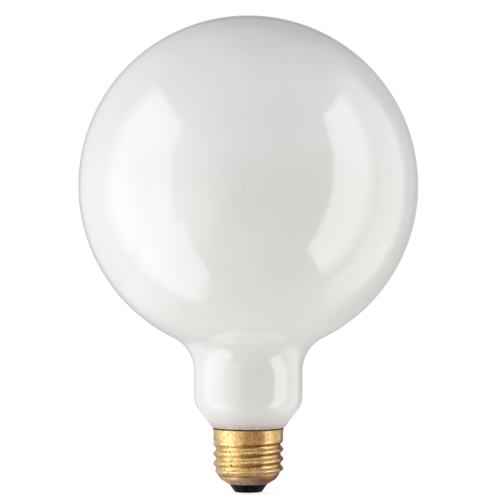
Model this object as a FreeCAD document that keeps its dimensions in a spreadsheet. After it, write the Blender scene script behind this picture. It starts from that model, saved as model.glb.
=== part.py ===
"""Globe lamp bulb with a medium screw cap, standing on its centre contact.

Millimetres. +Z runs up the lamp's axis, from the centre contact (z = 0) to the crown of the globe.
The lead that ends on the cap's rim comes out at the back, towards +Y.
"""
import FreeCAD, Part
import Sketcher
import math
import os
import re

# Driving sizes of the lamp
SIZES = {
    # opal glass bulb
    "globe_diameter": 127.0,
    "neck_diameter": 40.6,
    "neck_length": 21.45,
    "neck_blend": 14.0,
    "shoulder_angle": 37.5,
    "shoulder_round": 8.0,
    "joint_overhang": 0.25,
    "joint_round": 0.6,
    "seal_depth": 8.5,
    "seal_round": 3.0,
    "tip_diameter": 5.0,
    "tip_round": 1.8,
    # screw shell, rolled from brass sheet
    "cap_height": 24.2,
    "collar_step": 0.1,
    "rim_flare": 0.2,
    "flare_height": 1.6,
    "thread_diameter": 26.3,
    "thread_depth": 1.1,
    "thread_pitch": 3.629,
    "thread_phase": 170.0,
    "collar_height": 4.4,
    "thread_bottom": 7.2,
    "run_out": 1.4,
    "foot_step": 0.9,
    "knee_step": 1.3,
    "knee_height": 5.2,
    "knee_round": 3.0,
    "mouth_diameter": 14.9,
    "mouth_height": 3.4,
    "flare_round": 3.0,
    "sheet_wall": 0.3,
    "notch_depth": 1.2,
    # insulator and centre contact
    "nose_diameter": 10.2,
    "nose_height": 0.35,
    "nose_round": 0.4,
    "insulator_reach": 6.6,
    "flange_diameter": 7.6,
    "flange_thickness": 0.4,
    "eyelet_diameter": 3.2,
    "eyelet_bore": 1.6,
    "eyelet_stand": 0.6,
    "dab_diameter": 6.0,
    "dab_flat": 2.8,
    # lead wires and the solder at the rim
    "lead_diameter": 0.5,
    "lead_offset": 3.4,
    "lead_bend": 0.9,
    "lead_room": 4.0,
    "rim_dab_width": 3.4,
    "rim_dab_height": 2.0,
    "rim_dab_depth": 1.8,
    # fits
    "cement_thickness": 1.8,
    "joint_gap": 0.25,
    "bond_gap": 0.03,
    "lead_gap": 0.1,
}

RINGS_PER_TURN = 12

# Lengths that several pieces share, as formulas of the driving sizes
COLLAR_RADIUS = "(thread_diameter / 2 - collar_step)"
RIM_RADIUS = f"({COLLAR_RADIUS} + rim_flare)"
JOINT_RADIUS = f"({RIM_RADIUS} + joint_overhang)"
JOINT_HEIGHT = "(cap_height + joint_gap)"
SHOULDER_TOP = f"({JOINT_HEIGHT} + (neck_diameter / 2 - {JOINT_RADIUS}) / tan(shoulder_angle))"
NECK_TOP = f"({SHOULDER_TOP} + neck_length)"
GLOBE_CENTRE = f"({NECK_TOP} + sqrt(pow(globe_diameter / 2; 2) - pow(neck_diameter / 2; 2)))"
CROWN = f"({GLOBE_CENTRE} + globe_diameter / 2)"
COLLAR_BORE = f"({COLLAR_RADIUS} - sheet_wall)"
SEAL_RADIUS = f"({COLLAR_BORE} - cement_thickness)"
SEAL_END = "(cap_height - seal_depth)"
EYELET_TOP = "(insulator_reach + eyelet_stand)"
TIP_END = f"({EYELET_TOP} + lead_room)"
FLARE_START = "(cap_height - flare_height)"
THREAD_TOP = "(cap_height - collar_height)"
THREAD_MEAN = "(thread_diameter / 2 - thread_depth / 2)"
FOOT_RADIUS = f"({THREAD_MEAN} - foot_step)"
KNEE_RADIUS = f"({FOOT_RADIUS} - knee_step)"
DISH_ANGLE = f"atan(({KNEE_RADIUS} - mouth_diameter / 2) / (knee_height - mouth_height))"
BOWL_ANGLE = "atan(knee_step / (thread_bottom - knee_height))"
KNEE_ANGLE = f"(({DISH_ANGLE} + {BOWL_ANGLE}) / 2)"
KNEE_WALL = f"(sheet_wall / cos(({DISH_ANGLE} - {BOWL_ANGLE}) / 2))"
MOUTH_BORE = f"(mouth_diameter / 2 - sheet_wall * cos({DISH_ANGLE}))"
MOUTH_LIP = f"(mouth_height + sheet_wall * sin({DISH_ANGLE}))"
KNEE_BORE = f"({KNEE_RADIUS} - {KNEE_WALL} * cos({KNEE_ANGLE}))"
KNEE_SEAT = f"(knee_height + {KNEE_WALL} * sin({KNEE_ANGLE}))"
FOOT_BORE = f"({FOOT_RADIUS} - sheet_wall)"
LEAD_RADIUS = f"({SEAL_RADIUS} + lead_diameter / 2 + lead_gap)"
EXIT_HEIGHT = "(cap_height - notch_depth + lead_diameter / 2 + lead_gap)"

doc = FreeCAD.newDocument("globe_bulb")
sheet = doc.addObject("Spreadsheet::Sheet", "Sizes")
for row, (alias, size) in enumerate(SIZES.items(), start=1):
    sheet.set(f"A{row}", alias)
    sheet.set(f"B{row}", str(size))
    sheet.setAlias(f"B{row}", alias)
doc.recompute()


def formula(text):
    """A formula written with bare size names, with each name pointing at its cell."""
    return re.sub(r"[a-z_]+", lambda m: f"Sizes.{m.group()}" if m.group() in SIZES else m.group(), text)


def value(text):
    return float(sheet.evalExpression(formula(text)))


def bind(item, **formulas):
    """Ties properties of an object to formulas of the sheet. A double underscore stands for a dot."""
    for name, text in formulas.items():
        item.setExpression(name.replace("__", "."), formula(text))


def plane(body, role):
    return next(item for item in body.Origin.OriginFeatures if item.Role == role)


def half_section(body, corners, arc_about=None):
    """A closed sketch on the XZ plane through (radius, height) corners.

    With arc_about, the first edge is an arc about that height on the axis, and the arc sets where it ends.
    """
    sketch = body.newObject("Sketcher::SketchObject", f"{body.Name}_section")
    sketch.AttachmentSupport = [(plane(body, "XZ_Plane"), "")]
    sketch.MapMode = "FlatFace"
    points = [FreeCAD.Vector(value(radius), value(height), 0) for radius, height in corners]
    starts = []
    for index, point in enumerate(points):
        after = points[(index + 1) % len(points)]
        if index == 0 and arc_about:
            centre = FreeCAD.Vector(0, value(arc_about), 0)
            circle = Part.Circle(centre, FreeCAD.Vector(0, 0, 1), (point - centre).Length)
            low = math.atan2(after.y - centre.y, after.x - centre.x)
            sketch.addGeometry(Part.ArcOfCircle(circle, low, math.pi / 2))
            starts.append((0, 2, 1))
        else:
            sketch.addGeometry(Part.LineSegment(point, after))
            starts.append((index, 1, 2))
    constrain = lambda *terms: sketch.addConstraint(Sketcher.Constraint(*terms))
    for index, (edge, first, last) in enumerate(starts):
        following, next_first, _ = starts[(index + 1) % len(starts)]
        constrain("Coincident", edge, last, following, next_first)
    if arc_about:
        constrain("PointOnObject", 0, 3, -2)
        constrain("DistanceY", -1, 1, 0, 3, value(arc_about))
        sketch.setExpression(f"Constraints[{sketch.ConstraintCount - 1}]", formula(arc_about))
    for index, (radius, height) in enumerate(corners):
        edge, first, _ = starts[index]
        for kind, axis, text in (("DistanceX", -2, radius), ("DistanceY", -1, height)):
            if kind == "DistanceY" and index == 1 and arc_about:
                continue
            if text == "0":
                constrain("PointOnObject", edge, first, axis)
            else:
                constrain(kind, -1, 1, edge, first, value(text))
                sketch.setExpression(f"Constraints[{sketch.ConstraintCount - 1}]", formula(text))
    return sketch


def turned(label, corners, arc_about=None):
    """A body turned from a half section."""
    body = doc.addObject("PartDesign::Body", label)
    sketch = half_section(body, corners, arc_about)
    turn = body.newObject("PartDesign::Revolution", f"{label}_turn")
    turn.Profile = sketch
    turn.ReferenceAxis = (sketch, ["V_Axis"])
    turn.Angle = 360
    doc.recompute()
    return body


def round_off(body, radius, corner):
    """Rounds the circular edge at a (radius, height) corner of a turned body."""
    base = body.Tip
    across, height = value(corner[0]), value(corner[1])

    def miss(edge):
        return abs(edge.Curve.Radius - across) + abs(edge.Curve.Center.z - height)

    circles = [(miss(edge), number) for number, edge in enumerate(base.Shape.Edges, start=1)
               if not edge.Degenerated and isinstance(edge.Curve, Part.Circle) and abs(edge.Curve.Axis.z) > 0.9]
    fillet = body.newObject("PartDesign::Fillet", f"{base.Name}_round")
    fillet.Base = (base, [f"Edge{min(circles)[1]}"])
    bind(fillet, Radius=radius)
    doc.recompute()


def cut(label, base, tool):
    piece = doc.addObject("Part::Cut", label)
    piece.Base = base
    piece.Tool = tool
    piece.Refine = False
    return piece


def wire_rod(label, stations):
    """A round wire through (y, z) formulas in the lamp's YZ plane, with straight runs joined by tangent arcs."""
    bend = value("lead_bend")
    points = [FreeCAD.Vector(0, value(y), value(z)) for y, z in stations]
    edges = []
    at = points[0]
    for before, corner, after in zip(points, points[1:], points[2:]):
        back = (before - corner).normalize()
        ahead = (after - corner).normalize()
        turn = math.pi - back.getAngle(ahead)
        reach = bend * math.tan(turn / 2)
        entry, leave = corner + back * reach, corner + ahead * reach
        toward = (back + ahead).normalize()
        middle = corner + toward * (bend / math.cos(turn / 2) - bend)
        edges += [Part.LineSegment(at, entry).toShape(), Part.Arc(entry, middle, leave).toShape()]
        at = leave
    edges.append(Part.LineSegment(at, points[-1]).toShape())
    path = Part.Wire(edges)
    start = (points[1] - points[0]).normalize()
    section = Part.Wire(Part.Circle(points[0], start, value("lead_diameter / 2")).toShape())
    rod = doc.addObject("Part::Feature", label)
    rod.Shape = path.makePipeShell([section], True, False)
    return rod


# Glass bulb: globe, neck, shoulder, sealed end and exhaust tip, blown and fused as one piece
glass_bulb = turned("glass_bulb", [
    ("0", CROWN),
    ("neck_diameter / 2", NECK_TOP),
    ("neck_diameter / 2", SHOULDER_TOP),
    (JOINT_RADIUS, JOINT_HEIGHT),
    (SEAL_RADIUS, JOINT_HEIGHT),
    (SEAL_RADIUS, SEAL_END),
    ("tip_diameter / 2", SEAL_END),
    ("tip_diameter / 2", TIP_END),
    ("0", TIP_END),
], arc_about=GLOBE_CENTRE)
round_off(glass_bulb, "neck_blend", ("neck_diameter / 2", NECK_TOP))
round_off(glass_bulb, "shoulder_round", ("neck_diameter / 2", SHOULDER_TOP))
round_off(glass_bulb, "joint_round", (JOINT_RADIUS, JOINT_HEIGHT))
round_off(glass_bulb, "seal_round", (SEAL_RADIUS, SEAL_END))
round_off(glass_bulb, "tip_round", ("tip_diameter / 2", TIP_END))


# Screw shell: a dished lower end, a rolled thread, and a collar that flares to the rim. The thread is a
# stack of rings that stand off centre, and the side that they lean to winds round the axis once in a
# pitch, so that a round single-start thread rises to the right and fades out at both ends. There the
# rings also narrow to the bowl's foot below and widen to the collar above.
def thread_loft(label, inset):
    """A solid through the thread's rings, with each ring's radius less the inset."""
    height = f"({THREAD_TOP} - thread_bottom)"
    count = round(value(f"{height} / thread_pitch") * RINGS_PER_TURN)
    rings = []
    for step in range(count + 1):
        fade_in = f"min(1; {height} * {step / count} / run_out)"
        fade_out = f"min(1; {height} * {1 - step / count} / run_out)"
        level = f"(thread_bottom + {height} * {step / count})"
        lean = f"thread_depth / 2 * {fade_in} * {fade_out}"
        middle = (f"{THREAD_MEAN} - (1 - {fade_in}) * foot_step"
                  f" + (1 - {fade_out}) * ({COLLAR_RADIUS} - {THREAD_MEAN})")
        facing = f"(360 * {level} / thread_pitch + thread_phase)"
        ring = doc.addObject("Part::Circle", f"{label}_ring")
        bind(ring,
             Radius=f"{middle} - {inset}",
             Placement__Base__x=f"{lean} * cos({facing})",
             Placement__Base__y=f"{lean} * sin({facing})",
             Placement__Base__z=level)
        rings.append(ring)
    loft = doc.addObject("Part::Loft", label)
    loft.Sections = rings
    loft.Solid = True
    return loft


thread_wall = cut("thread_wall", thread_loft("thread_outside", "0"), thread_loft("thread_inside", "sheet_wall"))
dish = turned("dish", [
    (MOUTH_BORE, MOUTH_LIP),
    ("mouth_diameter / 2", "mouth_height"),
    (KNEE_RADIUS, "knee_height"),
    (FOOT_RADIUS, "thread_bottom"),
    (FOOT_BORE, "thread_bottom"),
    (KNEE_BORE, KNEE_SEAT),
])
round_off(dish, "knee_round", (KNEE_RADIUS, "knee_height"))
round_off(dish, "knee_round - sheet_wall", (KNEE_BORE, KNEE_SEAT))
collar_outside = turned("collar_outside", [
    ("0", THREAD_TOP),
    (COLLAR_RADIUS, THREAD_TOP),
    (COLLAR_RADIUS, FLARE_START),
    (RIM_RADIUS, "cap_height"),
    ("0", "cap_height"),
])
round_off(collar_outside, "flare_round", (COLLAR_RADIUS, FLARE_START))
collar_inside = turned("collar_inside", [
    ("0", THREAD_TOP),
    (COLLAR_BORE, THREAD_TOP),
    (COLLAR_BORE, FLARE_START),
    (f"{RIM_RADIUS} - sheet_wall", "cap_height"),
    ("0", "cap_height"),
])
round_off(collar_inside, "flare_round + sheet_wall", (COLLAR_BORE, FLARE_START))
collar = cut("collar", collar_outside, collar_inside)
shell_wall = doc.addObject("Part::MultiFuse", "shell_wall")
shell_wall.Shapes = [dish, thread_wall, collar]
shell_wall.Refine = False
notch = doc.addObject("Part::Box", "rim_notch")
bind(notch,
     Length="lead_diameter + 2 * lead_gap",
     Width=RIM_RADIUS,
     Height="notch_depth",
     Placement__Base__x="-lead_diameter / 2 - lead_gap",
     Placement__Base__z="cap_height - notch_depth")
screw_shell = cut("screw_shell", shell_wall, notch)

# Basing cement: a ring between the sealed end of the glass and the collar, grooved for the rim's lead
cement_ring = turned("cement_ring", [
    (f"{SEAL_RADIUS} + bond_gap", THREAD_TOP),
    (f"{COLLAR_BORE} - bond_gap", THREAD_TOP),
    (f"{COLLAR_BORE} - bond_gap", FLARE_START),
    (f"{SEAL_RADIUS} + bond_gap", FLARE_START),
])
groove = doc.addObject("Part::Box", "lead_groove")
bind(groove,
     Length="lead_diameter + 2 * lead_gap",
     Width=f"{LEAD_RADIUS} + lead_diameter / 2 + lead_gap",
     Height="cap_height",
     Placement__Base__x="-lead_diameter / 2 - lead_gap")
basing_cement = cut("basing_cement", cement_ring, groove)

# Insulator: black glass pressed into the shell's mouth, with a seat for the centre contact
insulator = turned("insulator", [
    ("eyelet_diameter / 2 + bond_gap", "nose_height + flange_thickness + bond_gap"),
    ("flange_diameter / 2 + bond_gap", "nose_height + flange_thickness + bond_gap"),
    ("flange_diameter / 2 + bond_gap", "nose_height"),
    ("nose_diameter / 2", "nose_height"),
    (f"{MOUTH_BORE} - bond_gap", "mouth_height"),
    (f"{MOUTH_BORE} - bond_gap", f"{MOUTH_LIP} + bond_gap"),
    (f"{KNEE_BORE} - bond_gap", f"{KNEE_SEAT} + bond_gap"),
    (f"{KNEE_BORE} + ({FOOT_BORE} - {KNEE_BORE}) * (insulator_reach - {KNEE_SEAT}) / "
     f"(thread_bottom - {KNEE_SEAT}) - 2 * bond_gap", "insulator_reach"),
    ("eyelet_diameter / 2 + bond_gap", "insulator_reach"),
])
round_off(insulator, "nose_round", ("nose_diameter / 2", "nose_height"))
round_off(insulator, "knee_round - sheet_wall - bond_gap", (f"{KNEE_BORE} - bond_gap", f"{KNEE_SEAT} + bond_gap"))

# Centre contact: a flanged brass eyelet through the insulator
centre_contact = turned("centre_contact", [
    ("eyelet_bore / 2", "nose_height"),
    ("flange_diameter / 2", "nose_height"),
    ("flange_diameter / 2", "nose_height + flange_thickness"),
    ("eyelet_diameter / 2", "nose_height + flange_thickness"),
    ("eyelet_diameter / 2", EYELET_TOP),
    ("eyelet_bore / 2", EYELET_TOP),
])

# Lead wires: one down the middle to the centre contact, one out through the notch in the rim
centre_lead = wire_rod("centre_lead", [
    ("-lead_offset", SEAL_END),
    ("-lead_offset", f"{TIP_END} - lead_bend"),
    ("0", f"{EYELET_TOP} + lead_bend"),
    ("0", "nose_height / 2"),
])
side_lead = wire_rod("side_lead", [
    ("lead_offset", SEAL_END),
    ("lead_offset", f"{SEAL_END} - 2 * lead_bend"),
    (LEAD_RADIUS, f"{SEAL_END} - 2 * lead_bend"),
    (LEAD_RADIUS, EXIT_HEIGHT),
    (f"{RIM_RADIUS} + rim_dab_depth / 4", EXIT_HEIGHT),
])

# Solder: a low dab with a pressed flat on the centre contact, and a dab over the rim's notch
centre_dab = turned("centre_dab", [
    ("0", "0"),
    ("dab_flat / 2", "0"),
    ("dab_diameter / 2", "nose_height"),
    ("0", "nose_height"),
])
centre_solder = cut("centre_solder", centre_dab, centre_lead)
rim_dab = doc.addObject("Part::Ellipsoid", "rim_dab")
bind(rim_dab,
     Radius1="rim_dab_height / 2",
     Radius2="rim_dab_width / 2",
     Radius3="rim_dab_depth / 2",
     Placement__Base__y=f"{RIM_RADIUS} + lead_gap",
     Placement__Base__z=EXIT_HEIGHT)
dab_outside = cut("dab_outside", rim_dab, collar_outside)
side_solder = cut("side_solder", dab_outside, side_lead)
doc.recompute()

PIECES = [glass_bulb, basing_cement, screw_shell, insulator, centre_contact,
          centre_solder, centre_lead, side_lead, side_solder]
for item in doc.Objects:
    if "Invalid" in item.State or "Error" in item.State:
        raise RuntimeError(f"{item.Label} failed: {item.State}")
for piece in PIECES:
    if piece.Shape.isNull() or not piece.Shape.isValid():
        raise RuntimeError(f"{piece.Label} has no valid shape")

os.makedirs("parts", exist_ok=True)
for piece in PIECES:
    piece.Shape.exportStep(f"parts/{piece.Label}.step")
    print(f"{piece.Label}: {piece.Shape.Volume:.2f} mm3, {len(piece.Shape.Solids)} solid")
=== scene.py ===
import math

import bmesh
import bpy
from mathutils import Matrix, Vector


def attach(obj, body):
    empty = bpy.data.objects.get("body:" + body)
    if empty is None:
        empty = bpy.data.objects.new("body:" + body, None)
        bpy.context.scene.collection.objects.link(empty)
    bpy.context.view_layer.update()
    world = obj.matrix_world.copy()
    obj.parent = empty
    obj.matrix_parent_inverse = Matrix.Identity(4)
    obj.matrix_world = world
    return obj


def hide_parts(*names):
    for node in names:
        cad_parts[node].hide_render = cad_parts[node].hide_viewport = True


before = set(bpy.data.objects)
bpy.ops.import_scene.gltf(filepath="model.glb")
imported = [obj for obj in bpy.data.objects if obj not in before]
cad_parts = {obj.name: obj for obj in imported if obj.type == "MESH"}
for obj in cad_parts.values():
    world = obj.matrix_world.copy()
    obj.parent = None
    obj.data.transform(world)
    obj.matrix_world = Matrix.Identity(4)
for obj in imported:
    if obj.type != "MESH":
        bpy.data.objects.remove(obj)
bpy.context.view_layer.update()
mm = 0.001
scene = bpy.context.scene
scene.view_settings.view_transform = "Standard"


# one socket of a node tree; arithmetic on it adds Math nodes
class Flow:
    def __init__(self, tree, socket=None):
        self.tree = tree
        self.socket = socket

    # settings go on before the sockets get their values or links
    def node(self, kind, settings=None, sockets=None, out=0):
        made = self.tree.nodes.new(kind)
        for name, setting in (settings or {}).items():
            setattr(made, name, setting)
        for name, given in (sockets or {}).items():
            if isinstance(given, Flow):
                self.tree.links.new(given.socket, made.inputs[name])
            else:
                made.inputs[name].default_value = given
        return Flow(self.tree, made.outputs[out])

    def math(self, operation, *others):
        return self.node("ShaderNodeMath", {"operation": operation}, dict(enumerate((self, *others))))

    def __add__(self, other):
        return self.math("ADD", other)

    __radd__ = __add__

    def __sub__(self, other):
        return self.math("SUBTRACT", other)

    def __rsub__(self, other):
        return self.node("ShaderNodeMath", {"operation": "SUBTRACT"}, {0: other, 1: self})

    def __mul__(self, other):
        return self.math("MULTIPLY", other)

    __rmul__ = __mul__

    def __truediv__(self, other):
        return self.math("DIVIDE", other)

    def __neg__(self):
        return self.math("MULTIPLY", -1.0)

    def least(self, other):
        return self.math("MINIMUM", other)

    def most(self, other):
        return self.math("MAXIMUM", other)

    # 0 below low, 1 above high, smooth between
    def rise(self, low, high):
        return self.node("ShaderNodeMapRange", {"interpolation_type": "SMOOTHSTEP"},
                         {"Value": self, "From Min": low, "From Max": high})

    # 1 between low and high, with soft ends
    def band(self, low, high, softLow, softHigh):
        return self.rise(low - softLow, low + softLow) * (1 - self.rise(high - softHigh, high + softHigh))

    # this value picks between two colours
    def pick(self, low, high):
        return self.node("ShaderNodeMix", {"data_type": "RGBA"}, {0: self, 6: low, 7: high}, out=2)

    def parts(self):
        split = self.node("ShaderNodeSeparateXYZ", None, {0: self}).socket.node
        return [Flow(self.tree, socket) for socket in split.outputs]

    def length(self):
        return self.node("ShaderNodeVectorMath", {"operation": "LENGTH"}, {0: self}, out="Value")

    def away(self, spot):
        return self.node("ShaderNodeVectorMath", {"operation": "DISTANCE"}, {0: self, 1: spot}, out="Value")

    def noise(self, scale, detail=2.0, roughness=0.5):
        return self.node("ShaderNodeTexNoise", None,
                         {"Vector": self, "Scale": scale, "Detail": detail, "Roughness": roughness})

    # this value raised as bumps, with the distance in metres
    def bump(self, strength, distance):
        return self.node("ShaderNodeBump", None,
                         {"Height": self, "Strength": strength, "Distance": distance})

    # this shader becomes what the tree gives out
    def close(self, kind):
        end = self.tree.nodes.new(kind)
        self.tree.links.new(self.socket, end.inputs["Surface"])


def tone(red, green, blue):
    return (red, green, blue, 1.0)


def grey(level):
    return tone(level, level, level)


# a material, and its object coordinates in millimetres
def newFinish(name):
    finish = bpy.data.materials.new(name)
    finish.use_nodes = True
    finish.node_tree.nodes.clear()
    flow = Flow(finish.node_tree)
    coords = flow.node("ShaderNodeTexCoord", None, None, out="Object")
    place = flow.node("ShaderNodeVectorMath", {"operation": "SCALE"}, {0: coords, "Scale": 1 / mm})
    return finish, flow, place


def closeFinish(flow, sockets):
    flow.node("ShaderNodeBsdfPrincipled", None, sockets).close("ShaderNodeOutputMaterial")


# a half section with each (radius, height, round) corner turned into a short arc, in millimetres
def roundedSection(corners, closed, stepDegrees=4, fewestSteps=4):
    points = []
    count = len(corners)
    for index, (radius, height, rounding) in enumerate(corners):
        here = Vector((radius, height))
        atEnd = not closed and index in (0, count - 1)
        if rounding == 0 or atEnd:
            points.append(here)
            continue
        back = (Vector(corners[index - 1][:2]) - here).normalized()
        ahead = (Vector(corners[(index + 1) % count][:2]) - here).normalized()
        half = back.angle(ahead) / 2
        reach = rounding / math.tan(half)
        centre = here + (back + ahead).normalized() * (rounding / math.sin(half))
        start = here + back * reach - centre
        sweep = start.angle_signed(here + ahead * reach - centre)
        steps = max(fewestSteps, round(abs(math.degrees(sweep)) / stepDegrees))
        for step in range(steps + 1):
            turn = -sweep * step / steps
            points.append(centre + Vector((start.x * math.cos(turn) - start.y * math.sin(turn),
                                           start.x * math.sin(turn) + start.y * math.cos(turn))))
    return points


# adds points along straight stretches, so that shading stays even there
def spread(points, stride):
    filled = [points[0]]
    for start, end in zip(points, points[1:]):
        start, end = Vector(start), Vector(end)
        steps = max(1, math.ceil((end - start).length / stride))
        filled += [start.lerp(end, step / steps) for step in range(1, steps + 1)]
    return filled


# turns a half section round the lamp's axis; points on the axis become poles
def lathe(name, section, facets, closed=False, poleRadius=1e-6):
    shape = bmesh.new()
    rings = []
    for radius, height in section:
        if radius < poleRadius:
            rings.append([shape.verts.new((0, 0, height * mm))] * facets)
            continue
        rings.append([shape.verts.new((radius * mm * math.cos(2 * math.pi * k / facets),
                                       radius * mm * math.sin(2 * math.pi * k / facets), height * mm))
                      for k in range(facets)])
    pairs = list(zip(rings, rings[1:])) + ([(rings[-1], rings[0])] if closed else [])
    for low, high in pairs:
        for k in range(facets):
            n = (k + 1) % facets
            corners = []
            for vert in (low[k], low[n], high[n], high[k]):
                if vert not in corners:
                    corners.append(vert)
            if len(corners) > 2:
                shape.faces.new(corners)
    bmesh.ops.recalc_face_normals(shape, faces=shape.faces)
    return meshPiece(name, shape)


def meshPiece(name, shape):
    for face in shape.faces:
        face.smooth = True
    mesh = bpy.data.meshes.new(name)
    shape.to_mesh(mesh)
    shape.free()
    piece = bpy.data.objects.new(name, mesh)
    scene.collection.objects.link(piece)
    return piece


def coat(piece, finish):
    piece.data.materials.clear()
    piece.data.materials.append(finish)


def fitPiece(piece, node, finish):
    coat(piece, finish)
    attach(piece, "root")
    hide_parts(node)
    print("piece", piece.name, "faces", len(piece.data.polygons))


# opal glass: globe, neck, shoulder and the sealed end that hides in the cap
glass = {
    "globeRadius": 63.46,
    "globeHeight": 114.93,
    "globeSteps": 96,
    "neckRadius": 20.3,
    "neckBlend": 14.0,
    "blendSteps": 18,
    "shoulder": (33.312, 8.0),    # height, rounding
    "joint": (13.5, 24.45, 0.6),    # radius, height, rounding
    "seal": 10.95,
    "sealEnd": 15.7,
    "sealRounds": (0.3, 3.0, 0.5),
    "tip": (2.5, 11.2, 1.8),
    "stride": 1.5,
    "facets": 192,
    "milk": (tone(0.795, 0.79, 0.78), tone(0.815, 0.812, 0.805)),
    "specks": [(-49.5, 89.4, 0.55), (-4.6, 75.1, 0.4), (-1.6, 111.5, 0.35)],    # across, height, size
    "neckSpeck": (-10.1, 41.2, 0.4),
    "speckTone": tone(0.32, 0.3, 0.28),
    "shoulderShadeSpan": (24.0, 33.5),    # heights between which a mark fades; here the painted shade on the shoulder
    "shoulderShadeTone": tone(0.65, 0.61, 0.6),
    "jointShadeSpan": (24.8, 27.2),
    "jointShadeTone": tone(0.44, 0.37, 0.35),
    "dulled": (29.5, 35.0),
    "limbs": (11.0, 26.0),    # how far from the middle plane the gloss softens
}


def glassSection():
    radius, height = glass["globeRadius"], glass["globeHeight"]
    blend, neck = glass["neckBlend"], glass["neckRadius"]
    across = neck + blend
    drop = math.sqrt((radius + blend) ** 2 - across ** 2)
    last = math.atan2(across, -drop)
    points = [(0.0, height + radius)]
    for step in range(1, glass["globeSteps"] + 1):
        turn = last * step / glass["globeSteps"]
        points.append((radius * math.sin(turn), height + radius * math.cos(turn)))
    first = math.atan2(drop, -across)
    for step in range(1, glass["blendSteps"] + 1):
        turn = first + (math.pi - first) * step / glass["blendSteps"]
        points.append((across + blend * math.cos(turn), height - drop + blend * math.sin(turn)))
    sealTop, sealFoot, tipTop = glass["sealRounds"]
    tipRadius, tipEnd, tipRound = glass["tip"]
    lower = roundedSection([
        (neck, height - drop, 0),
        (neck, *glass["shoulder"]),
        glass["joint"],
        (glass["seal"], glass["joint"][1], sealTop),
        (glass["seal"], glass["sealEnd"], sealFoot),
        (tipRadius, glass["sealEnd"], tipTop),
        (tipRadius, tipEnd, tipRound),
        (0.0, tipEnd, 0),
    ], closed=False)
    return points + spread(lower, glass["stride"])[1:]


def opalFinish():
    finish, flow, place = newFinish("opalGlass")
    spots = [(x, z, size, math.sqrt(glass["globeRadius"] ** 2 - (z - glass["globeHeight"]) ** 2))
             for x, z, size in glass["specks"]]
    spots.append((*glass["neckSpeck"], glass["neckRadius"]))
    speck = 0.0
    for x, z, size, radius in spots:
        spot = (x, -math.sqrt(radius ** 2 - x ** 2), z)
        speck = speck + (1 - place.away(spot).rise(size * 0.4, size))
    milk = place.noise(0.035, 3.0).rise(0.35, 0.65).pick(*glass["milk"])
    depth, height = place.parts()[1:]
    shoulderShade = 1 - height.rise(*glass["shoulderShadeSpan"])    # painted shade: the shoulder darkens towards the cap
    shadedMilk = shoulderShade.pick(milk, glass["shoulderShadeTone"])
    # patchy noise that breaks up the painted shade along the joint
    paintedShade = place.noise(1.3, 3.0, 0.7).rise(0.42, 0.6)
    # painted shade: a darker band just above the joint between glass and rim
    jointShade = (1 - height.rise(*glass["jointShadeSpan"])) * (0.25 + 0.75 * paintedShade)
    edged = jointShade.pick(shadedMilk, glass["jointShadeTone"])
    colour = (speck * 0.55).pick(edged, glass["speckTone"])
    dulled = 1 - height.rise(*glass["dulled"])
    edge = flow.node("ShaderNodeLayerWeight", None, {"Blend": 0.5}, out="Facing").rise(0.6, 0.9)
    haze = edge * depth.math("ABSOLUTE").rise(*glass["limbs"])    # front and back limbs keep their outline
    wave = place.noise(0.06, 2.0) * 0.7 + place.noise(0.5, 2.0) * 0.05
    closeFinish(flow, {
        "Base Color": colour,
        "Roughness": 0.07 + 0.04 * place.noise(0.2, 3.0) + (0.4 * dulled).most(0.5 * haze),
        "IOR": 1.52,
        "Specular IOR Level": 1.0,
        "Normal": wave.bump(0.12, 0.002),
    })
    return finish


opal = lathe("opal_bulb", glassSection(), glass["facets"])
fitPiece(opal, "glass_bulb", opalFinish())


# brass shell: turned plain first, then the thread is rolled into it
shell = {
    "mouth": (7.45, 3.4),
    "knee": (10.4, 5.2, 3.0),    # radius, height, rounding
    "foot": 11.7,
    "threadMean": 12.6,
    "collar": 13.05,
    "rim": (13.25, 24.2),
    "flareStart": 22.6,
    "flareRound": 3.0,
    "edgeRound": 0.1,
    "wall": 0.3,
    "threadBottom": 7.2,
    "threadTop": 19.8,
    "pitch": 3.629,
    "depth": 1.1,
    "phase": 170.0,
    "runOut": 1.4,
    "ringStep": 0.12,
    "facets": 168,
    "threadZone": (8.3, 19.3, 0.5, 0.5),    # zones of the finish, with how soft their ends are
    "groove": (6.5, 7.2, 0.2, 0.2),
    "rightShadeStrip": (4.0, 10.6, 2.0, 1.2),
    "mottledStrip": (-1.0, 5.5, 2.5, 2.0),
    "litStrip": (-8.6, -3.0, 1.2, 3.0),
    "bowlTop": (5.6, 7.6),    # and where a mark fades in or out
    "collarFoot": (19.4, 20.2),
    "rimShadeSpan": (23.7, 24.05),
    "roots": (12.15, 12.7),
    "pit": (-6.3, -11.3, 11.1),
    "pitSize": (0.3, 0.7),
    "tones": {
        "sheet": tone(0.95, 0.69, 0.315),
        "lit": tone(1.0, 0.79, 0.34),
        "agedAndShaded": tone(0.66, 0.39, 0.19),
        "agedAndShadedBowl": tone(0.66, 0.355, 0.24),
        "rightShade": tone(0.27, 0.155, 0.06),
        "rightEdgeReflection": tone(0.55, 0.22, 0.06),
        "underShade": tone(0.2, 0.075, 0.015),
        "paintedShade": tone(0.22, 0.06, 0.04),
        "groove": tone(0.33, 0.14, 0.075),
        "fleck": tone(0.265, 0.14, 0.075),
        "pitAndRimShade": tone(0.1, 0.055, 0.03),
    },
}


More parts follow.
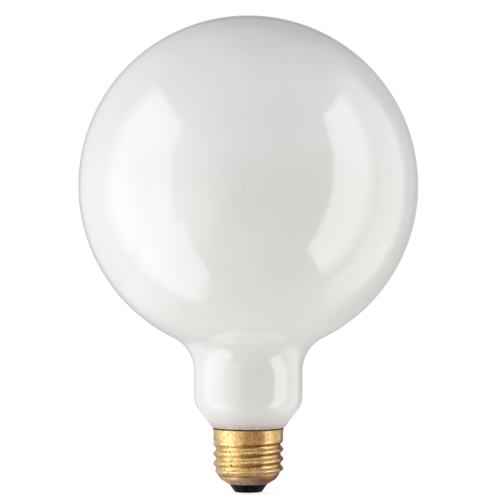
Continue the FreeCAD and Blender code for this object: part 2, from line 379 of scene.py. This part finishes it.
def shellSection():
    wall, mean, collar, foot = shell["wall"], shell["threadMean"], shell["collar"], shell["foot"]
    low, high, fade = shell["threadBottom"], shell["threadTop"], shell["runOut"]
    flare, flareRound, edge = shell["flareStart"], shell["flareRound"], shell["edgeRound"]
    steps = round((high - low) / shell["ringStep"])
    rolled = []
    for step in range(steps + 1):
        height = low + (high - low) * step / steps
        below = 1 - min(1, (height - low) / fade)
        above = 1 - min(1, (high - height) / fade)
        rolled.append((mean + below * (foot - mean) + above * (collar - mean), height))
    kneeRadius, kneeHeight, kneeRound = shell["knee"]
    mouthRadius, mouthHeight = shell["mouth"]
    rimRadius, rimHeight = shell["rim"]
    dish = math.atan((kneeRadius - mouthRadius) / (kneeHeight - mouthHeight))
    bowl = math.atan((foot - kneeRadius) / (low - kneeHeight))
    tilt, offset = (dish + bowl) / 2, wall / math.cos((dish - bowl) / 2)
    mouthIn = (mouthRadius - wall * math.cos(dish), mouthHeight + wall * math.sin(dish))
    kneeIn = (kneeRadius - offset * math.cos(tilt), kneeHeight + offset * math.sin(tilt))
    outer = [(mouthRadius, mouthHeight, edge), shell["knee"]]
    outer += [(*point, 0) for point in rolled]
    outer += [(collar, flare, flareRound), (rimRadius, rimHeight, edge)]
    inner = [(rimRadius - wall, rimHeight, edge), (collar - wall, flare, flareRound + wall)]
    inner += [(radius - wall, height, 0) for radius, height in reversed(rolled)]
    inner += [(*kneeIn, kneeRound - wall), (*mouthIn, edge)]
    return roundedSection(outer + inner, closed=True)


# node tree that leans each level of the shell off centre, once round in a pitch
def threadTree(finish):
    tree = bpy.data.node_groups.new("rollThread", "GeometryNodeTree")
    tree.interface.new_socket("Geometry", in_out="INPUT", socket_type="NodeSocketGeometry")
    sizes = {}
    for label in ("Pitch", "Depth", "Phase", "Bottom", "Top", "Run Out"):
        socket = tree.interface.new_socket(label, in_out="INPUT", socket_type="NodeSocketFloat")
        sizes[label] = socket.identifier
    tree.interface.new_socket("Geometry", in_out="OUTPUT", socket_type="NodeSocketGeometry")
    given = tree.nodes.new("NodeGroupInput")
    entry = {socket.name: Flow(tree, socket) for socket in given.outputs}
    height = Flow(tree).node("GeometryNodeInputPosition").parts()[2]
    fadeIn = ((height - entry["Bottom"]) / entry["Run Out"]).most(0.0).least(1.0)
    fadeOut = ((entry["Top"] - height) / entry["Run Out"]).most(0.0).least(1.0)
    lean = entry["Depth"] * 0.5 * fadeIn * fadeOut
    facing = height / entry["Pitch"] * (2 * math.pi) + entry["Phase"]
    move = height.node("ShaderNodeCombineXYZ", None,
                       {"X": lean * facing.math("COSINE"), "Y": lean * facing.math("SINE")})
    rolled = height.node("GeometryNodeSetPosition", None, {"Geometry": entry["Geometry"], "Offset": move})
    real = height.node("GeometryNodeRealizeInstances", None, {"Geometry": rolled})
    coated = height.node("GeometryNodeSetMaterial", None, {"Geometry": real, "Material": finish})
    tree.links.new(coated.socket, tree.nodes.new("NodeGroupOutput").inputs[0])
    return tree, sizes


def rollThread(piece, finish):
    tree, sizes = threadTree(finish)
    roller = piece.modifiers.new("roll", "NODES")
    roller.node_group = tree
    roller[sizes["Pitch"]] = shell["pitch"] * mm
    roller[sizes["Depth"]] = shell["depth"] * mm
    roller[sizes["Phase"]] = math.radians(shell["phase"])
    roller[sizes["Bottom"]] = shell["threadBottom"] * mm
    roller[sizes["Top"]] = shell["threadTop"] * mm
    roller[sizes["Run Out"]] = shell["runOut"] * mm
    piece.update_tag()
    rolled = piece.evaluated_get(bpy.context.evaluated_depsgraph_get())
    shaped = bpy.data.meshes.new_from_object(rolled)
    piece.modifiers.remove(roller)
    piece.data = shaped


def brassFinish():
    finish, flow, place = newFinish("rolledBrass")
    tones = shell["tones"]
    x, y, z = place.parts()
    radius = flow.node("ShaderNodeCombineXYZ", None, {"X": x, "Y": y}).length()
    front = (-y).rise(0.0, 4.0)
    bowl = 1 - z.rise(*shell["bowlTop"])

    # roots of the thread, and the lower and upper flank of each turn; roots and lower flanks take painted
    # shade
    inThread = z.band(*shell["threadZone"])
    # painted shade in the roots of the thread
    rootShade = (1 - radius.rise(*shell["roots"])) * inThread
    winding = z * (2 * math.pi / shell["pitch"]) + math.radians(shell["phase"]) - y.math("ARCTAN2", x)
    slope = winding.math("SINE")
    # painted shade under each turn of the thread, stronger to the right
    underShade = (-slope).rise(0.1, 0.95) * inThread * (0.24 + 0.5 * x.rise(-2.0, 7.0))
    over = slope.rise(0.3, 0.95) * inThread

    # wear and painted shade: a dulled sheet, darker roots and bowl, a dark strip and a browner edge on the
    # right, the bowl darker to the right
    stain = place.noise(0.45, 5.0, 0.65).rise(0.48, 0.68)
    # painted shade in the roots and over the bowl, more towards the right; the noisy stain is real dulling
    dullAndShaded = stain * 0.4 + rootShade * 0.25 + bowl * (0.35 + 0.4 * x.rise(-8.0, 2.0))
    dullAndShaded = dullAndShaded.least(1.0)
    # painted shade: a dark strip on the right front that dims the right softbox's reflection, more on upper
    # flanks, bowl and collar foot
    rightShade = 0.26 + 0.3 * over + 0.6 * bowl + 0.25 * z.rise(*shell["collarFoot"])
    rightShade = rightShade * x.band(*shell["rightShadeStrip"]) * front
    # painted reflection: the right edge turns browner, standing in for a warm reflection there
    rightEdgeReflection = (x + 3.0 * bowl).rise(8.6, 11.2) * front * (0.75 - 0.45 * z.rise(19.6, 20.6))
    # painted shade: the bowl darker towards its right front
    paintedShade = 0.45 * bowl * x.rise(-1.0, 5.0) * front

    # small marks: flecks, most of them in a strip down the front, and the pit; painted shade in a line
    # above the bowl and on the rim under the glass
    streak = x.band(*shell["mottledStrip"]) * front
    cluster = place.noise(0.3, 2.0).rise(0.36, 0.54).most(0.7 * streak)
    fleck = place.noise(1.1, 3.0, 0.8).rise(0.49, 0.6) * cluster
    pit = 1 - place.away(shell["pit"]).rise(*shell["pitSize"])
    # painted shade: a dark line where a groove's shade would fall above the bowl, fainter on the right
    groove = z.band(*shell["groove"]) * (0.85 - 0.4 * x.rise(-2.0, 3.0))
    # painted shadow: the rim's top darkened under the glass's overhang, and rougher there
    rimShade = z.rise(*shell["rimShadeSpan"])

    # painted highlight: brighter, yellower brass on the thread's left, where the left softbox falls
    lit = inThread * x.band(*shell["litStrip"])
    bright = lit.pick(tones["sheet"], tones["lit"])
    wornAndShaded = dullAndShaded.pick(bright, bowl.pick(tones["agedAndShaded"], tones["agedAndShadedBowl"]))
    colour = rightShade.pick(wornAndShaded, tones["rightShade"])
    colour = rightEdgeReflection.pick(colour, tones["rightEdgeReflection"])
    colour = underShade.pick(colour, tones["underShade"])
    colour = paintedShade.pick(colour, tones["paintedShade"])
    colour = groove.pick(colour, tones["groove"])
    colour = (fleck * (0.6 + 0.25 * streak)).pick(colour, tones["fleck"])
    colour = rimShade.most(pit).pick(colour, tones["pitAndRimShade"])

    squeezed = flow.node("ShaderNodeMapping", None, {"Vector": place, "Scale": (0.25, 0.25, 7.0)})
    grain = squeezed.noise(1.6, 3.0) * 0.4 + place.noise(2.5, 3.0) * 0.5 + fleck * 0.25
    closeFinish(flow, {
        "Base Color": colour,
        "Metallic": 1.0,
        "Roughness": 0.29 - 0.12 * inThread + 0.08 * dullAndShaded + 0.14 * fleck + 0.25 * rimShade,
        "Normal": grain.bump(0.18, 0.0002),
    })
    return finish


brass = brassFinish()
shellPiece = lathe("brass_shell", shellSection(), shell["facets"], closed=True)
rollThread(shellPiece, brass)
fitPiece(shellPiece, "screw_shell", brass)


# black glass insulator in the mouth of the shell
insulator = {
    "nose": (5.1, 0.35, 0.4),    # radius, height, rounding
    "mouth": (7.26, 3.4, 0.4),
    "lip": (7.26, 3.69, 0.1),
    "knee": (10.15, 5.46, 2.67),
    "top": (10.92, 6.6, 0.3),
    "bore": 1.63,
    "boreRound": 0.2,
    "seat": (3.83, 0.78),
    "seatRound": 0.08,
    "facets": 128,
    "tones": (tone(0.003, 0.003, 0.004), tone(0.007, 0.0075, 0.009)),
}


def insulatorSection():
    seatRadius, seatHeight = insulator["seat"]
    return roundedSection([
        (insulator["bore"], seatHeight, 0),
        (seatRadius, seatHeight, 0),
        (seatRadius, insulator["nose"][1], insulator["seatRound"]),
        insulator["nose"],
        insulator["mouth"],
        insulator["lip"],
        insulator["knee"],
        insulator["top"],
        (insulator["bore"], insulator["top"][1], insulator["boreRound"]),
    ], closed=True)


def blackFinish():
    finish, flow, place = newFinish("blackGlass")
    smear = place.noise(0.6, 4.0, 0.6)
    dent = place.noise(0.9, 2.0) * 0.6 + place.noise(4.0, 2.0) * 0.12
    closeFinish(flow, {
        "Base Color": smear.rise(0.4, 0.7).pick(*insulator["tones"]),
        "Roughness": 0.14 + 0.2 * smear.rise(0.45, 0.75),
        "Specular IOR Level": 0.06,
        "Normal": dent.bump(0.25, 0.0006),
    })
    return finish


button = lathe("black_insulator", insulatorSection(), insulator["facets"], closed=True)
fitPiece(button, "insulator", blackFinish())


# centre eyelet, in the shell's brass
eyelet = {
    "bore": 0.8,
    "boreRounds": (0.15, 0.1),
    "flange": (3.8, 0.35, 0.75),
    "flangeRounds": (0.12, 0.1),
    "tube": (1.6, 7.2),
    "tubeRounds": (0.15, 0.1),
    "facets": 64,
}


def eyeletSection():
    flangeRadius, low, high = eyelet["flange"]
    tubeRadius, tubeTop = eyelet["tube"]
    boreFoot, boreTop = eyelet["boreRounds"]
    flangeFoot, flangeTop = eyelet["flangeRounds"]
    tubeFoot, tubeEnd = eyelet["tubeRounds"]
    return roundedSection([
        (eyelet["bore"], low, boreFoot),
        (flangeRadius, low, flangeFoot),
        (flangeRadius, high, flangeTop),
        (tubeRadius, high, tubeFoot),
        (tubeRadius, tubeTop, tubeEnd),
        (eyelet["bore"], tubeTop, boreTop),
    ], closed=True)


eyeletPiece = lathe("contact_eyelet", eyeletSection(), eyelet["facets"], closed=True)
fitPiece(eyeletPiece, "centre_contact", brass)


# solder on the end contact and at the rim
solderLook = {
    "tones": (grey(0.5), tone(0.68, 0.68, 0.66)),
    "metallic": 0.9,
}


def solderFinish():
    finish, flow, place = newFinish("dullSolder")
    frost = place.noise(1.4, 5.0, 0.65)
    lump = place.noise(0.9, 2.0) * 0.8 + place.noise(6.0, 3.0) * 0.2
    closeFinish(flow, {
        "Base Color": frost.rise(0.35, 0.7).pick(*solderLook["tones"]),
        "Metallic": solderLook["metallic"],
        "Roughness": 0.3 + 0.3 * frost,
        "Normal": lump.bump(0.35, 0.0004),
    })
    return finish


solder = solderFinish()

endSolder = {
    "radius": 3.0,
    "flat": 1.4,
    "height": 0.35,
    "waver": 0.22,
    "edgeSteps": 8,
    "facets": 72,
}


# a low dab whose edge wanders, with its pressed flat at the lamp's lowest point
def endSolderPiece():
    flat, height, steps = endSolder["flat"], endSolder["height"], endSolder["edgeSteps"]
    width = endSolder["radius"] - flat
    outline = [(0.0, 0.0), (flat, 0.0)]
    for step in range(1, steps + 1):
        turn = step / steps * math.pi / 2
        outline.append((flat + width * math.sin(turn), height * (1 - math.cos(turn))))
    outline.append((0.0, height))
    piece = lathe("end_solder", outline, endSolder["facets"])
    for vert in piece.data.vertices:
        away = vert.co.xy.length / mm
        if away > flat:
            turn = math.atan2(vert.co.y, vert.co.x)
            share = (away - flat) / width
            pull = endSolder["waver"] * (0.5 + 0.3 * math.sin(2 * turn + 0.6) + 0.2 * math.sin(5 * turn))
            vert.co.xy *= 1 - share * pull / endSolder["radius"]
    return piece


fitPiece(endSolderPiece(), "centre_solder", solder)

rimSolder = {
    "centre": (0.0, 13.35, 23.35),
    "half": (1.66, 0.88, 0.98),
    "lumps": 0.12,
    "subdivisions": 4,
}


# a wandering dab over the lead where it comes out at the rim
def rimSolderPiece():
    shape = bmesh.new()
    bmesh.ops.create_icosphere(shape, subdivisions=rimSolder["subdivisions"], radius=1.0)
    for vert in shape.verts:
        a, b, c = vert.co
        lump = 0.5 + 0.28 * math.sin(3.1 * a + 1.0) * math.cos(2.3 * c) + 0.22 * math.sin(4.0 * c + 2.0 * b)
        grow = 1 - rimSolder["lumps"] * lump
        vert.co = Vector([(middle + half * grow * way) * mm for middle, half, way in
                          zip(rimSolder["centre"], rimSolder["half"], vert.co)])
    return meshPiece("rim_solder", shape)


fitPiece(rimSolderPiece(), "side_solder", solder)


# pieces that keep their solid: cement and lead wires
cement = {"tones": (tone(0.5, 0.46, 0.39), tone(0.68, 0.64, 0.56))}
lead = {"tones": (tone(0.75, 0.46, 0.32), tone(0.5, 0.28, 0.18))}


def cementFinish():
    finish, flow, place = newFinish("basingCement")
    sand = place.noise(2.2, 5.0, 0.7)
    closeFinish(flow, {
        "Base Color": sand.rise(0.3, 0.7).pick(*cement["tones"]),
        "Roughness": 0.75 + 0.2 * sand,
        "Normal": sand.bump(0.5, 0.0003),
    })
    return finish


def leadFinish():
    finish, flow, place = newFinish("leadWire")
    age = place.noise(1.2, 4.0)
    closeFinish(flow, {
        "Base Color": age.rise(0.35, 0.7).pick(*lead["tones"]),
        "Metallic": 1.0,
        "Roughness": 0.28 + 0.25 * age,
    })
    return finish


keptFinishes = {"basing_cement": cementFinish()}
keptFinishes["centre_lead"] = keptFinishes["side_lead"] = leadFinish()
for node, finish in keptFinishes.items():
    coat(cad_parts[node], finish)
print("kept solids finished")


# studio: white for the camera, and in reflections a grey room with a softbox at each side
studio = {
    "ambient": 0.643,
    "ambientTint": tone(1.0, 0.988, 0.957),
    "frontDip": 0.1,
    "belowLift": 0.43,
    "room": 0.44,
    "overhead": 0.4,
    "wallTint": tone(1.0, 0.755, 0.6),
    "leftBox": 1.2,
    "leftGlow": 0.22,
    "leftFront": 0.66,
    "rightBox": 1.6,
    "rightGlow": 0.58,
}

# where the boxes and glows begin and end on the side walls, and how softly
softboxes = {
    "leftUpper": {"depth": (-0.78, 0.32, 0.05, 0.3), "lift": (-0.64, 1.05, 0.05, 0.05)},
    "leftLower": {"depth": (-1.0, 0.25, 0.08, 0.25), "lift": (-2.4, -0.52, 0.5, 0.05)},
    "leftGlow": {"depth": (0.4, 2.4, 0.2, 0.6), "lift": (-1.6, 1.5, 0.4, 0.4)},
    "leftFront": {"depth": (-3.0, -0.75, 2.0, 0.1), "lift": (-1.4, 0.8, 0.7, 0.7)},
    "rightGlow": {"depth": (0.1, 0.85, 0.1, 0.2), "lift": (-1.4, 1.2, 0.4, 0.3)},
    "right": {"depth": (-0.645, 0.03, 0.06, 0.2), "foot": (-1.3, -1.2), "head": (0.93, 1.03)},
}


def onWall(name, depth, lift):
    return depth.band(*softboxes[name]["depth"]) * lift.band(*softboxes[name]["lift"])


# what shiny surfaces see; depth and lift are measured on a wall at either side
def roomShine(x, y, z):
    side = x.math("ABSOLUTE").most(0.001)
    depth, lift = y / side, z / side
    toRight = x.rise(-0.02, 0.02)
    toLeft = 1 - toRight
    leftBox = onWall("leftUpper", depth, lift - 0.12 * depth).most(onWall("leftLower", depth, lift))
    left = (studio["leftBox"] * leftBox).most(studio["leftGlow"] * onWall("leftGlow", depth, lift))
    left = left.most(studio["leftFront"] * onWall("leftFront", depth, lift))
    rightBox = (depth - 0.19 * lift).band(*softboxes["right"]["depth"])    # its edges aren't square
    rightBox = rightBox * (lift + 0.15 * depth).rise(*softboxes["right"]["foot"])
    rightBox = rightBox * (1 - (lift - 0.16 * depth).rise(*softboxes["right"]["head"]))
    right = (studio["rightBox"] * rightBox).most(studio["rightGlow"] * onWall("rightGlow", depth, lift))
    behind = y.rise(-0.3, 0.4)
    darkTop = z.rise(0.15, 0.45) * behind * (1 - (x - 0.12).math("ABSOLUTE").rise(0.1, 0.45))
    darkTop = darkTop * (1 - 0.45 * z.rise(0.65, 0.9))
    darkRight = x.rise(0.2, 0.5) * y.rise(0.5, 0.8)
    plain = studio["room"] * (0.88 + 0.12 * behind) * (1 - 0.9 * darkTop.most(0.7 * darkRight))
    plain = plain + studio["overhead"] * z.rise(0.1, 0.5) * (1 - behind)
    return plain, left * toLeft + right * toRight


# white for the camera, the room for reflections, soft grey-white for everything else
def lightRoom():
    world = bpy.data.worlds.new("studioRoom")
    scene.world = world
    world.use_nodes = True
    world.node_tree.nodes.clear()
    flow = Flow(world.node_tree)
    x, y, z = flow.node("ShaderNodeTexCoord", None, None, out="Generated").parts()
    path = flow.node("ShaderNodeLightPath").socket.node
    rays = {name: Flow(flow.tree, path.outputs[name]) for name in
            ("Is Camera Ray", "Is Glossy Ray", "Is Transmission Ray")}
    isWhite = rays["Is Camera Ray"].most(rays["Is Transmission Ray"])
    isGlossy = rays["Is Glossy Ray"]
    isSoft = 1 - isWhite.most(isGlossy)
    soft = studio["ambient"] - studio["frontDip"] * (-y).rise(0.0, 1.0)
    soft = soft + studio["belowLift"] * (-z).rise(-0.2, 0.8)
    plain, boxes = roomShine(x, y, z)
    level = isWhite + isGlossy * (plain + boxes) + isSoft * soft
    warm = isGlossy * (-y).rise(0.1, 0.5) * (1 - z.rise(0.0, 0.5)) * (1 - boxes.rise(0.3, 1.0))
    tint = isSoft.pick(warm.pick(grey(1.0), studio["wallTint"]), studio["ambientTint"])
    back = flow.node("ShaderNodeBackground", None, {"Color": tint, "Strength": level})
    back.close("ShaderNodeOutputWorld")
    world.cycles.sampling_method = "NONE"    # differs by kind of ray, so it isn't sampled as a lamp


sideLamps = {
    "left_softbox": {
        "place": (-0.71, -0.26, 0.13),
        "power": 5.7,
        "size": (0.9, 1.3),
        "colour": (0.94, 0.975, 1.04),
    },
    "right_softbox": {
        "place": (0.75, -0.08, 0.27),
        "power": 2.8,
        "size": (0.7, 1.2),
        "colour": (0.98, 1.0, 1.03),
    },
}
lampTarget = Vector((0, 0, 0.1))


def hangLamp(name, place, power, size, colour):
    lamp = bpy.data.lights.new(name, "AREA")
    lamp.shape = "RECTANGLE"
    lamp.size, lamp.size_y = size
    lamp.energy = power
    lamp.color = colour
    holder = bpy.data.objects.new(name, lamp)
    holder.location = place
    aim = lampTarget - Vector(place)
    holder.rotation_euler = aim.to_track_quat("-Z", "Y").to_euler()
    holder.visible_camera = False
    holder.visible_glossy = False
    scene.collection.objects.link(holder)


floorSheet = {
    "rings": (0.0, 300.0, 2000.0, 30000.0),    # radii
    "facets": 64,
    "drop": 0.2,    # below the lamp, so that the two never share a face
    "tones": (0.2, 0.204),
    "glow": (0.87, 0.95),    # near and far
    "glowReach": (250.0, 700.0),
}


def layFloor():
    floor = lathe("studio_floor", [(radius, 0.0) for radius in floorSheet["rings"]], floorSheet["facets"])
    floor.location.z = -floorSheet["drop"] * mm
    finish, flow, place = newFinish("paleFloor")
    plain, paler = floorSheet["tones"]
    tint = place.noise(0.002, 2.0).pick(grey(plain), grey(paler))
    matte = flow.node("ShaderNodeBsdfDiffuse", None, {"Color": tint})
    near, far = floorSheet["glow"]
    shine = place.length().rise(*floorSheet["glowReach"]).pick(grey(near), grey(far))
    glow = flow.node("ShaderNodeEmission", None, {"Color": shine})
    flow.node("ShaderNodeAddShader", None, {0: matte, 1: glow}).close("ShaderNodeOutputMaterial")
    coat(floor, finish)
    floor.visible_diffuse = False
    floor.visible_glossy = False
    floor.visible_transmission = False


lightRoom()
for name, lamp in sideLamps.items():
    hangLamp(name, **lamp)
layFloor()
print("studio lit")


# level camera at the photo's height, framed on a square picture
lens = {
    "distance": 0.9,
    "aimX": 0.00138,
    "aimZ": 0.0901,
    "pixel": 0.3745,    # millimetres on the lamp's axis
    "pixels": 504,
    "sensor": 36.0,
    "reach": 100.0,
}
camera = bpy.data.cameras.new("camera")
camera.sensor_width = lens["sensor"]
camera.lens = lens["sensor"] * lens["distance"] / (lens["pixels"] * lens["pixel"] * mm)
camera.clip_end = lens["reach"]
viewer = bpy.data.objects.new("camera", camera)
viewer.location = (lens["aimX"], -lens["distance"], lens["aimZ"])
viewer.rotation_euler = (math.pi / 2, 0, 0)
scene.collection.objects.link(viewer)
scene.camera = viewer
